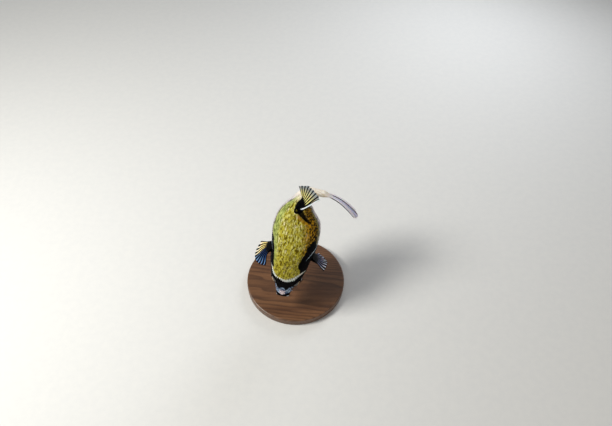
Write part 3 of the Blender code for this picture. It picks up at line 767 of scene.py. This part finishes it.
def fin_piece(name, rays, surface, flesh, material, seed):
    """A fin with branched, jointed rays, its web thin and a little slack between them.

    flesh is the thickness of its root in mm, how far out that reaches, and how rounded the root is
    from the first ray to the last.
    """
    gaps = rays - 1
    s, r = np.meshgrid(np.linspace(0, 1, gaps * COLUMNS_PER_RAY + 1),
                       np.linspace(0, 1, FIN_ROWS), indexing="ij")
    ray_index = np.clip(np.rint(s * gaps).astype(int), 0, gaps)
    wander = np.random.default_rng(seed).uniform(-0.5, 0.5, rays)[ray_index]
    off = s * gaps - ray_index
    branch = BRANCH_SPREAD * ramp(BRANCH_START, 1.0, r) * (1 - 0.25 * np.abs(wander))
    twig = TWIG_SPREAD * ramp(TWIG_START, 1.0, r)
    half = RAY_HALF_WIDTH * (1 - 0.55 * r)
    ray = np.maximum.reduce([hump(off - a * branch - b * twig, half) for a in (-1, 1) for b in (-1, 1)])
    notch = WEB_NOTCH * (1 - ray) * ramp(0.5, 1.0, r) + RAY_SHORTENING * np.abs(wander) * r
    reach = r * (1 - notch)
    middle = surface(s, reach)
    first, full = s[:, :1], 1 + 0 * s[:, :1]
    length = np.linalg.norm(surface(first, full) - surface(first, 0 * full), axis=-1) / MM
    normal = unit(np.cross(np.gradient(middle, axis=0), np.gradient(middle, axis=1)))
    segments = 0.5 - 0.5 * np.cos(2 * math.pi * reach * length / SEGMENT_LENGTH)
    joints = SEGMENT_DEPTH * ray * ramp(0.25, 0.35, r) * segments
    thick = WEB_THICKNESS + (RAY_THICKNESS * (1 - 0.62 * r) - WEB_THICKNESS) * ray**1.5 - joints
    root_thickness, root_reach, rounding = flesh
    rounded = np.maximum(1 - (2 * s - 1) ** 2, 0.02) ** rounding
    thick = np.maximum(thick, root_thickness * rounded * hump(reach, root_reach))
    slack = WEB_SLACK * (1 - ray) * np.sin(r * 9 + wander * 9) * r
    slack += FIN_SWAY * np.sin(s * 7 + seed) * r**2
    middle = middle + normal * (slack * MM)[..., None]
    half_thick = normal * (thick / 2 * MM)[..., None]
    steps = np.linalg.norm(np.diff(middle, axis=0), axis=-1) / MM
    measures = {
        "line": hump(np.abs(off) - branch * 0.6, 0.36 - 0.12 * r),
        "reach": r,
        "span": s,
        "lead_mm": np.concatenate([0 * steps[:1], np.cumsum(steps, axis=0)]),
        "flat_mm": np.stack([s * length.mean(), reach * length.mean(), 0 * s], -1),
    }
    measures = {key: np.stack([value, value]) for key, value in measures.items()}
    points = np.stack([middle + half_thick, middle - half_thick])
    fin = add_piece(name + "_rays", points, sheet_faces(*s.shape), measures, material)
    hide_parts(name)


# Eyes, nostril flaps and beak
EYE_RINGS = 90
EYE_SEGMENTS = 96
FLAP_LENGTH = 4.6
FLAP_ROOT = 0.8
FLAP_RINGS = 18
FLAP_SEGMENTS = 16
BEAK_RINGS = 70
BEAK_SEGMENTS = 120


def rings_and_turns(shares, segments):
    """A grid of rings: each one's share, and the turn round it."""
    return np.meshgrid(shares, np.linspace(0, 2 * math.pi, segments, endpoint=False), indexing="ij")


def eye_piece(side, name, material):
    """An eyeball with a domed clear front over the iris, as one polished ball."""
    polar, turn = rings_and_turns(np.linspace(0.004, math.pi - 0.004, EYE_RINGS), EYE_SEGMENTS)
    axis = eye_axis(side)
    ahead = unit(np.cross(axis, turned((0, 0, 1))))
    parts = [np.cos(polar), np.sin(polar) * np.cos(turn), np.sin(polar) * np.sin(turn)]
    out = np.stack(parts, -1) @ np.stack([axis, ahead, np.cross(ahead, axis)])
    radius = EYE_RADIUS * STANDARD_LENGTH * (0.985 + 0.022 * hump(polar, 0.55))
    measures = {"polar": np.degrees(polar), "turn_x": np.cos(turn), "turn_y": np.sin(turn)}
    points = eye_centre(side) + out * radius[..., None]
    eye = add_piece(name + "_ball", points, tube_faces(*polar.shape), measures, material)
    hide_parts(name)


def nostril_flaps(material):
    """Two soft leaf-shaped flaps on each side, joined at the root."""
    share, turn = rings_and_turns(np.linspace(0, 1, FLAP_RINGS), FLAP_SEGMENTS)
    wide = (0.95 + 0.35 * np.sin(share * math.pi)) * np.sqrt(np.clip(1 - share**4, 0.004, 1))
    thin = 0.42 * (1 - 0.55 * share) * np.sqrt(np.clip(1 - share**6, 0.004, 1))
    tailward = turned((0, 1, 0))
    flaps = []
    for side in LEFT_AND_RIGHT:
        root, out = skin_at(NOSTRIL_PLACE, NOSTRIL_HEIGHT, side)
        axes = np.stack([out, tailward, unit(np.cross(out, tailward))])
        for lean in (-1, 1):
            back = lean * (0.5 + 1.5 * share**1.6) + np.sin(turn) * thin
            aside = side * 0.5 * share**2 + np.cos(turn) * wide
            flaps.append(root + np.stack([share * FLAP_LENGTH - FLAP_ROOT, back, aside], -1) @ axes * MM)
    faces = [tube_faces(*share.shape) + k * share.size for k in range(len(flaps))]
    tips = {"tip": [share] * len(flaps)}
    piece = add_piece("nostril_flaps", flaps, np.concatenate(faces), tips, material)


def beak_piece(material):
    """Four fused tooth plates, parted by the bite and by one suture above and below."""
    polar, turn = rings_and_turns(np.linspace(0.01, math.pi - 0.01, BEAK_RINGS), BEAK_SEGMENTS)
    side, rise, ahead = np.sin(polar) * np.cos(turn), np.sin(polar) * np.sin(turn), np.cos(polar)
    middle, half_height = middle_and_half_height(LIP_START)
    half_height = half_height - LIP_CURL_HEIGHT - BEAK_GAP
    half_width = smooth(HALF_WIDTH, LIP_START) - LIP_CURL_SIDE - BEAK_GAP
    length = (MOUTH_DEPTH - BEAK_FRONT) / 2
    bite = hump(rise * half_height * LENGTH_MM, 0.22)
    grooves = np.maximum(bite, 0.7 * hump(side * half_width * LENGTH_MM, 0.14))
    scale = 1 - 0.09 * grooves * ramp(0.0, 0.3, ahead)
    ridges = 0.012 * np.sin(ahead * 26) * ramp(0.1, 0.4, ahead)
    points = place(MOUTH_DEPTH - BEAK_GAP - length - ahead * length * (scale + ridges),
                   side * half_width * scale, middle + rise * half_height * scale)
    faces = tube_faces(*polar.shape)
    beak = add_piece("beak_plates", points, faces, {"groove": grooves}, material)
    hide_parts("beak")


# Materials
def linear(value):
    """A share of colour in the shader's light, from one given as the eye sees it, 0 to 255."""
    return value / 255 / 12.92 if value < 10.3 else ((value / 255 + 0.055) / 1.055) ** 2.4


class Paint:
    """A Principled material, its patterns written as calls that add nodes.

    Colours are given as the eye sees them, from 0 to 255.
    """

    def __init__(self, name, **sockets):
        self.material = bpy.data.materials.new(name)
        self.material.use_nodes = True
        self.tree = self.material.node_tree
        self.shader = self.tree.nodes["Principled BSDF"]
        for socket, value in sockets.items():
            self.put(self.shader, socket.replace("_", " ").title().replace("Ior", "IOR"), value)

    def put(self, node, socket, value):
        target = node.inputs[socket]
        if isinstance(value, bpy.types.NodeSocket):
            self.tree.links.new(value, target)
        elif target.type == "RGBA":
            target.default_value = (*map(linear, value), 1.0)
        else:
            target.default_value = value

    def node(self, kind, sockets, **settings):
        node = self.tree.nodes.new(kind)
        for key, value in settings.items():
            setattr(node, key, value)
        for socket, value in sockets.items():
            self.put(node, socket, value)
        return node

    def add(self, kind, *values, output=0, **settings):
        return self.node(kind, dict(enumerate(values)), **settings).outputs[output]

    def attribute(self, name, output="Fac"):
        return self.add("ShaderNodeAttribute", output=output, attribute_name=name)

    def object_place(self):
        return self.add("ShaderNodeTexCoord", output=3)

    def math(self, operation, a, b=0.0, c=0.0):
        return self.add("ShaderNodeMath", a, b, c, operation=operation)

    times = partialmethod(math, "MULTIPLY")
    plus = partialmethod(math, "ADD")
    times_plus = partialmethod(math, "MULTIPLY_ADD")

    def away(self, value, middle):
        return self.math("ABSOLUTE", self.plus(value, -middle))

    def rise(self, value, low, high):
        """0 below low and 1 above high."""
        return self.add("ShaderNodeMapRange", value, low, high, 0.0, 1.0, interpolation_type="SMOOTHSTEP")

    def mix(self, share, a, b):
        return self.node("ShaderNodeMix", {0: share, 6: a, 7: b}, data_type="RGBA").outputs[2]

    def tones(self, value, low, high, first, second):
        """The first colour where the value is below low, and the second above high."""
        return self.mix(self.rise(value, low, high), first, second)

    def layers(self, colour, *tops):
        """A colour with others laid over it in turn, each in the product of its shares."""
        for top, share, *factors in tops:
            for factor in factors:
                share = self.times(share, factor)
            colour = self.mix(share, colour, top)
        return colour

    def paint(self, colour, *tops):
        """The finished material."""
        self.put(self.shader, "Base Color", self.layers(colour, *tops))
        return self.material

    def scaled(self, vector, x, y, z):
        return self.add("ShaderNodeVectorMath", vector, (x, y, z), operation="MULTIPLY")

    def noise(self, vector, scale, detail=4.0, roughness=0.6):
        sockets = {"Vector": vector, "Scale": scale, "Detail": detail, "Roughness": roughness}
        return self.node("ShaderNodeTexNoise", sockets).outputs["Fac"]

    def centred(self, noise, size):
        """The same noise about 0, in proportion to this size."""
        return self.times(self.plus(noise, -0.5), size)

    def spots(self, vector, scale, edge, core, left_out):
        """Scattered spots, 1 within core of their middles, and none in the share left out."""
        cells = self.node("ShaderNodeTexVoronoi", {"Vector": vector, "Scale": scale})
        chance = self.add("ShaderNodeSeparateColor", cells.outputs["Color"])
        shape = self.rise(cells.outputs["Distance"], edge, core)
        return self.times(shape, self.rise(chance, left_out, left_out + 0.10))

    def bump(self, height, distance, strength=1.0):
        node = self.node("ShaderNodeBump", {"Strength": strength, "Distance": distance, "Height": height})
        self.put(self.shader, "Normal", node.outputs["Normal"])


def skin_material():
    """Olive back with specks, pale belly, black mask edged with white, pale muzzle, black lips."""
    p = Paint("puffer_skin", roughness=0.55, specular_ior_level=0.03)
    rest = p.attribute("rest_mm", "Vector")
    left, along = (p.add("ShaderNodeSeparateXYZ", rest, output=i) for i in range(2))
    streak = p.noise(p.scaled(rest, 1.0, 0.42, 1.0), 0.42, 4.0, 0.62)
    ragged = p.centred(p.noise(rest, 0.8, 3.0), 2.4)
    fine = p.noise(rest, 1.3, 3.0)
    black = p.tones(fine, 0.55, 0.85, (2, 2, 4), (9, 7, 8))
    p.bump(p.plus(fine, p.times(p.noise(rest, 4.5, 2.0), 0.6)), 0.0004, 0.55)
    return p.paint(
        p.tones(streak, 0.41, 0.58, (97, 83, 4), (186, 174, 56)),
        *back_layers(p, rest, along),
        *side_layers(p, rest, left, along, streak),
        ((206, 196, 130), p.rise(p.attribute("tip"), 0.5, 1.0), 0.22),
        # painted shade in the flank's fold and in the wrinkle valleys
        (black, p.attribute("crease"), 0.97),
        *mask_layers(p, streak, ragged, black),
        *lip_layers(p, left, along, ragged, black),
    )


def back_layers(p, rest, along):
    """Dark dots ahead, pale flecks behind, and golden brown, partly painted shade, with patches of
    painted shade on the bent flank.
    """
    drawn_out = p.scaled(rest, 1.0, 0.45, 1.0)
    flecks = p.noise(p.scaled(rest, 1.0, 0.40, 1.0), 0.44, 2.5, 0.55)
    behind = p.times_plus(p.rise(along, 62.0, 92.0), 0.46, 0.20)
    dots = p.noise(p.scaled(rest, 1.0, 0.75, 1.0), 0.50, 2.0, 0.55)
    ahead = p.times_plus(p.rise(along, 96.0, 60.0), 0.26, 0.36)
    return [
        ((184, 176, 74), p.rise(p.noise(drawn_out, 0.10, 3.0), 0.42, 0.68), 0.34),
        ((222, 220, 140), p.rise(flecks, 0.51, 0.59), behind),
        ((236, 226, 176), p.spots(drawn_out, 0.24, 0.42, 0.16, 0.40), behind, 1.25),
        ((68, 50, 0), p.rise(dots, 0.46, 0.38), ahead),
        ((60, 40, 4), p.spots(rest, 0.27, 0.34, 0.18, 0.30), ahead, 1.25),
        ((164, 112, 10), p.attribute("warmth"), 0.72),
        # golden brown with dark flecks, partly painted shade on the left flank
        (p.tones(dots, 0.44, 0.56, (48, 26, 2), (218, 160, 28)), p.attribute("gold"), 0.88),
        # painted shade, dark brown and broken up by the dots
        ((20, 13, 6), p.attribute("dusk"), p.rise(dots, 0.68, 0.46)),
    ]


def side_layers(p, rest, left, along, streak):
    """Paler round the side and greener on the right, partly painted light, near white below, cream on the
    tail, and a blue muzzle, partly painted shade.
    """
    level = p.plus(p.attribute("side"), p.centred(p.noise(rest, 0.16, 3.0), 0.16))
    pink = p.tones(streak, 0.36, 0.56, (146, 138, 166), (246, 228, 224))
    # the pale muzzle, partly painted blue-grey shade, pinker down its middle
    muzzle_with_shade = p.layers(p.tones(streak, 0.40, 0.58, (26, 52, 94), (164, 184, 204)),
                      (pink, p.rise(p.away(left, -1.6), 5.4, 2.6), p.rise(along, 15.0, 10.5)))
    return [
        # greener right flank, partly painted light
        (p.tones(streak, 0.38, 0.60, (98, 118, 54), (174, 190, 116)), p.attribute("green"), 0.72),
        (p.tones(streak, 0.40, 0.60, (88, 86, 66), (154, 152, 124)), p.rise(level, 0.33, 0.38)),
        (p.tones(streak, 0.40, 0.65, (172, 168, 178), (234, 224, 222)), p.rise(level, 0.385, 0.43)),
        (p.tones(streak, 0.40, 0.65, (188, 186, 182), (228, 224, 220)), p.rise(level, 0.46, 0.54)),
        (p.tones(streak, 0.40, 0.60, (240, 226, 198), (255, 248, 240)), p.rise(along, 143.0, 160.0)),
        # muzzle, partly painted shade
        (muzzle_with_shade, p.rise(along, 38.0, 31.0)),
    ]


def mask_layers(p, streak, ragged, black):
    """The black mask and patches, the white line on the mask's edge, and the pale line."""
    white = p.tones(streak, 0.4, 0.6, (196, 210, 204), (240, 234, 228))
    pale = p.tones(streak, 0.4, 0.6, (120, 148, 164), (206, 218, 226))
    marks = (("mask_mm", 1.0, -0.35, 0.35, black), ("blotch_mm", 1.0, -0.7, 0.5, black),
             ("white_mm", 0.35, -0.35, 0.30, white), ("line_mm", 0.4, -0.3, 0.35, pale))
    return [(colour, p.rise(p.times_plus(ragged, share, p.attribute(name)), low, high))
            for name, share, low, high, colour in marks]


def lip_layers(p, left, along, ragged, black):
    """Black lips that dip in a V, a white dot at each corner of the mouth, and a thin grey edge."""
    across = p.away(left, -1.4)
    front = p.times_plus(across, -0.42, p.times_plus(ragged, 0.3, along))
    return [
        (black, p.rise(front, 4.6, 3.7)),
        ((196, 204, 210), p.rise(across, 7.0, 7.6), p.rise(along, 3.4, 2.8)),
        ((92, 92, 92), p.rise(along, 1.9, 1.5)),
    ]


def fin_paint(name, sheen, mottle_scale):
    """The start of a fin's material, how far out along its rays each point lies, and mottling."""
    p = Paint(name, roughness=0.50, specular_ior_level=sheen, subsurface_weight=0.1,
              subsurface_scale=0.001)
    flat = p.attribute("flat_mm", "Vector")
    p.bump(p.noise(p.scaled(flat, 6.0, 1.0, 1.0), 1.2, 3.0), 0.0002, 0.5)
    return p, p.attribute("reach"), p.noise(flat, mottle_scale, 4.0)


def fin_material(name, colours, black_reach, boldness=1.0, lower=None, white_lead=False):
    """Black at the root, dark rays, and a pale web that lightens towards its edge.

    The colours are those of the web, its edge, the rays and their tips. boldness widens the dark
    rays. lower gives the first three colours in the half with the last rays, where they differ,
    and white_lead paints the first ray white with a black line beside it.
    """
    p, reach, mottle = fin_paint(name, 0.02, 0.9)
    web, edge, ray, ray_tip = colours
    line = p.times(p.attribute("line"), boldness)
    if lower:
        low = p.rise(p.times_plus(mottle, 0.1, p.attribute("span")), 0.53, 0.66)
        web, edge, ray = (p.mix(low, above, below) for above, below in zip(colours, lower))
        line = p.times(line, p.times_plus(low, -0.45, 1.0))
    if white_lead:
        line = p.times_plus(p.rise(reach, 0.55, 1.0), -0.38, line)
    ragged = p.plus(reach, p.centred(mottle, 0.16))
    layers = [
        (edge, p.rise(reach, 0.50, 0.98)),
        ((96, 98, 100), p.rise(mottle, 0.5, 0.75), 0.30),
        (p.tones(reach, 0.70, 1.0, ray, ray_tip), p.rise(line, 0.30, 0.50)),
        ((2, 2, 3), p.rise(ragged, black_reach + 0.07, black_reach - 0.06)),
    ]
    if white_lead:
        from_first = p.times_plus(reach, -1.3, p.attribute("lead_mm"))
        white = p.times(p.rise(from_first, 1.25, 0.90), p.rise(reach, 0.10, 0.16))
        layers += [((5, 5, 9), p.rise(from_first, 2.3, 1.9)), ((228, 236, 242), white)]
    return p.paint(web, *layers)


def tail_fin_material():
    """Pale, with a lilac band in the middle, and navy ones beside it and along the first ray."""
    p, reach, mottle = fin_paint("puffer_tail_fin", 0.03, 0.7)
    wavy = p.plus(p.attribute("span"), p.centred(mottle, 0.04))
    lilac = p.tones(p.attribute("line"), 0.25, 0.60, (136, 150, 206), (240, 238, 252))
    navy = p.math("MAXIMUM", p.rise(p.away(wavy, 0.69), 0.125, 0.095), p.rise(wavy, 0.120, 0.085))
    return p.paint(
        p.tones(mottle, 0.4, 0.65, (240, 232, 242), (255, 252, 255)),
        ((240, 228, 212), p.rise(reach, 0.30, 0.06)),
        (lilac, p.rise(wavy, 0.34, 0.42), p.rise(wavy, 0.62, 0.54), p.rise(reach, 0.14, 0.40)),
        ((3, 5, 24), navy, p.rise(reach, 0.14, 0.30)),
    )


def eye_material():
    """A blue-black pupil, a bright ring, and a dark iris flecked with gold."""
    p = Paint("puffer_eye", roughness=0.16, specular_ior_level=0.4, coat_weight=0.7, coat_roughness=0.03)
    polar, turn_x, turn_y = (p.attribute(name) for name in ("polar", "turn_x", "turn_y"))
    around = p.add("ShaderNodeCombineXYZ", turn_x, turn_y, p.times(polar, 0.02))
    return p.paint(
        p.tones(p.noise(around, 7.0, 4.0, 0.7), 0.42, 0.62, (44, 30, 12), (150, 108, 40)),
        ((20, 18, 12), p.rise(p.noise(around, 2.2, 3.0), 0.45, 0.62), 0.75),
        ((196, 156, 80), p.rise(polar, 17.0, 18.5), p.rise(polar, 24.0, 21.5)),
        ((22, 17, 10), p.rise(polar, 24.0, 32.0), 0.85),
        ((4, 6, 12), p.rise(polar, 18.0, 16.5)),
        ((10, 8, 9), p.rise(polar, 44.0, 50.0)),
    )


def flap_material():
    p = Paint("puffer_nostril_flap", roughness=0.45, specular_ior_level=0.4)
    grain = p.noise(p.object_place(), 900.0, 3.0)
    p.bump(grain, 0.0002, 0.5)
    return p.paint(p.tones(grain, 0.4, 0.7, (12, 10, 12), (52, 46, 44)),
                   ((150, 132, 132), p.rise(p.attribute("tip"), 0.62, 0.95)))


def beak_material():
    p = Paint("puffer_beak", roughness=0.3, specular_ior_level=0.5, coat_weight=0.3, coat_roughness=0.15)
    stain = p.noise(p.object_place(), 500.0, 4.0)
    return p.paint(p.tones(stain, 0.4, 0.65, (226, 214, 180), (198, 178, 132)),
                   ((46, 34, 26), p.rise(p.attribute("groove"), 0.3, 0.8)))


def wood_material():
    """Dark oiled hardwood, sawn so that its year rings run across the base as long lines."""
    p = Paint("stand_wood", roughness=0.40, specular_ior_level=0.4, coat_weight=0.2, coat_roughness=0.3)
    at = p.object_place()
    x, y, z = (p.add("ShaderNodeSeparateXYZ", at, output=i) for i in range(3))
    over = p.plus(p.times_plus(x, 0.16, y), 0.022)
    under = p.plus(z, 0.055)
    radius = p.math("SQRT", p.times_plus(over, over, p.times(under, under)))
    drift = p.noise(p.scaled(at, 5.0, 22.0, 22.0), 1.0, 3.0)
    ring = p.math("FRACT", p.times_plus(drift, 3.2, p.times(radius, 330.0)))
    figure = p.noise(p.scaled(at, 9.0, 120.0, 120.0), 1.0, 5.0, 0.6)
    pores = p.noise(p.scaled(at, 70.0, 1500.0, 1500.0), 1.0, 2.0)
    p.bump(pores, 0.0002, 0.25)
    return p.paint(
        p.tones(figure, 0.35, 0.70, (116, 80, 52), (92, 60, 38)),
        ((60, 37, 23), p.rise(ring, 0.35, 0.92), p.rise(ring, 1.0, 0.94), 0.62),
        ((38, 24, 16), p.rise(pores, 0.60, 0.70), 0.6),
    )


def steel_material():
    p = Paint("stand_brushed_steel", metallic=1.0)
    brush = p.noise(p.scaled(p.object_place(), 300.0, 300.0, 9000.0), 1.0, 3.0)
    p.put(p.shader, "Roughness", p.add("ShaderNodeMapRange", brush, 0.0, 1.0, 0.24, 0.42))
    p.bump(brush, 0.0001, 0.2)
    return p.paint(p.tones(brush, 0.3, 0.7, (196, 197, 200), (222, 222, 222)))


def floor_material():
    p = Paint("pale_floor", roughness=0.75)
    grain = p.noise(p.object_place(), 90.0, 4.0)
    p.bump(grain, 0.001, 0.05)
    return p.paint((226, 226, 224), ((216, 217, 217), p.rise(grain, 0.3, 0.7), 0.3))


# Stage, lights and camera
FLOOR_HALF = 4.0
SKY_COLOUR = (0.95, 0.97, 1.0, 1.0)
SKY_STRENGTH = 0.25

# Each light's name, offset from the body in metres as the camera sees it, size, power and colour
LIGHTS = (
    ("key", (-0.85, 0.45, 0.75), 0.40, 15.0, (1.0, 0.98, 0.92)),
    ("fill", (0.9, -0.3, 0.6), 0.9, 1.2, (1.0, 0.80, 0.52)),
    ("rim", (0.5, 0.9, -0.2), 0.4, 3.0, (0.92, 0.95, 1.0)),
)


def stage():
    corners = [(x * FLOOR_HALF, y * FLOOR_HALF, 0) for x, y in ((-1, -1), (1, -1), (1, 1), (-1, 1))]
    mesh = bpy.data.meshes.new("floor")
    mesh.from_pydata(corners, [], [(0, 1, 2, 3)])
    mesh.materials.append(floor_material())
    new_object("floor", mesh)
    world = bpy.context.scene.world or bpy.data.worlds.new("studio")
    bpy.context.scene.world = world
    world.use_nodes = True
    background = world.node_tree.nodes["Background"]
    background.inputs["Color"].default_value = SKY_COLOUR
    background.inputs["Strength"].default_value = SKY_STRENGTH


def view_axes():
    """Right, up and back of the camera, in the frame."""
    back = np.array([
        math.sin(CAMERA_AZIMUTH) * math.cos(CAMERA_ELEVATION),
        -math.cos(CAMERA_AZIMUTH) * math.cos(CAMERA_ELEVATION),
        math.sin(CAMERA_ELEVATION),
    ])
    right = np.array([math.cos(CAMERA_AZIMUTH), math.sin(CAMERA_AZIMUTH), 0.0])
    return np.stack([right, np.cross(back, right), back])


def body_middle():
    """The point of the fish that the framing is measured from."""
    return TILT @ (np.array(BODY_MIDDLE) * STANDARD_LENGTH) + LIFT


def camera():
    metres_per_pixel = CAMERA_DISTANCE / (LENS / SENSOR * IMAGE_SIZE[0])
    shift_right = (IMAGE_SIZE[0] / 2 - MIDDLE_PIXEL[0]) * metres_per_pixel
    shift_up = (MIDDLE_PIXEL[1] - IMAGE_SIZE[1] / 2) * metres_per_pixel
    eye = body_middle() + np.array([shift_right, shift_up, CAMERA_DISTANCE]) @ view_axes()
    data = bpy.data.cameras.new("photo_camera")
    data.lens = LENS
    data.sensor_width = SENSOR
    data.clip_start = 0.01
    obj = new_object("photo_camera", data)
    obj.matrix_world = Matrix.Translation(Vector(eye)) @ Matrix(view_axes().T.tolist()).to_4x4()
    bpy.context.scene.camera = obj


def area_light(name, offset, size, power, colour):
    """A soft light at an offset (right, up, back) from the body, aimed at it."""
    shift = np.array(offset) @ view_axes()
    data = bpy.data.lights.new(name, "AREA")
    data.size = size
    data.energy = power
    data.color = colour
    aim = Vector(-shift).to_track_quat("-Z", "Y").to_matrix().to_4x4()
    new_object(name, data).matrix_world = Matrix.Translation(Vector(body_middle() + shift)) @ aim


# The fins and the whole model
def fins():
    left_paint = fin_material(
        "puffer_left_pectoral", ((112, 114, 144), (218, 222, 236), (2, 2, 5), (6, 6, 16)), 0.28,
        boldness=1.45)
    right_paint = fin_material(
        "puffer_right_pectoral", ((30, 58, 108), (104, 142, 188), (2, 3, 10), (6, 10, 26)), 0.26,
        boldness=1.6, lower=((240, 216, 136), (244, 234, 206), (30, 20, 8)))
    dorsal_paint = fin_material(
        "puffer_dorsal_fin", ((240, 230, 148), (152, 160, 164), (3, 3, 5), (20, 20, 28)), 0.34,
        white_lead=True)
    anal_paint = fin_material(
        "puffer_anal_fin", ((226, 220, 160), (200, 204, 206), (8, 7, 9), (52, 50, 56)), 0.30)
    left = partial(pectoral_surface, 1, LEFT_PECTORAL)
    right = partial(pectoral_surface, -1, RIGHT_PECTORAL)
    dorsal = partial(median_surface, DORSAL_PLACE, BACK_LINE, 1, DORSAL)
    anal = partial(median_surface, ANAL_PLACE, BELLY_LINE, -1, ANAL)
    stump = TAIL_STUMP * LENGTH_MM
    fin_piece("pectoral_fin_left", 10, left, (5.2, 0.22, 0.0), left_paint, 21)
    fin_piece("pectoral_fin_right", 10, right, (5.2, 0.22, 0.0), right_paint, 22)
    fin_piece("dorsal_fin", 9, dorsal, (6.4, 0.19, 0.0), dorsal_paint, 23)
    fin_piece("anal_fin", 10, anal, (5.8, 0.19, 0.0), anal_paint, 24)
    fin_piece("tail_fin", 10, tail_fin_surface, (stump, 0.15, 0.5), tail_fin_material(), 25)


def dress():
    skin_paint = skin_material()
    grid = skin_piece(skin_paint)
    prickles(grid, skin_paint)
    fins()
    eye_paint = eye_material()
    eye_piece(1, "eye_left", eye_paint)
    eye_piece(-1, "eye_right", eye_paint)
    nostril_flaps(flap_material())
    beak_piece(beak_material())
    for node, paint in (("stand_base", wood_material()), ("stand_rod", steel_material())):
        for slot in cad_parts[node].material_slots:
            slot.material = paint


dress()
stage()
for light in LIGHTS:
    area_light(*light)
camera()
bpy.context.scene.view_settings.view_transform = "Standard"
bpy.context.view_layer.update()
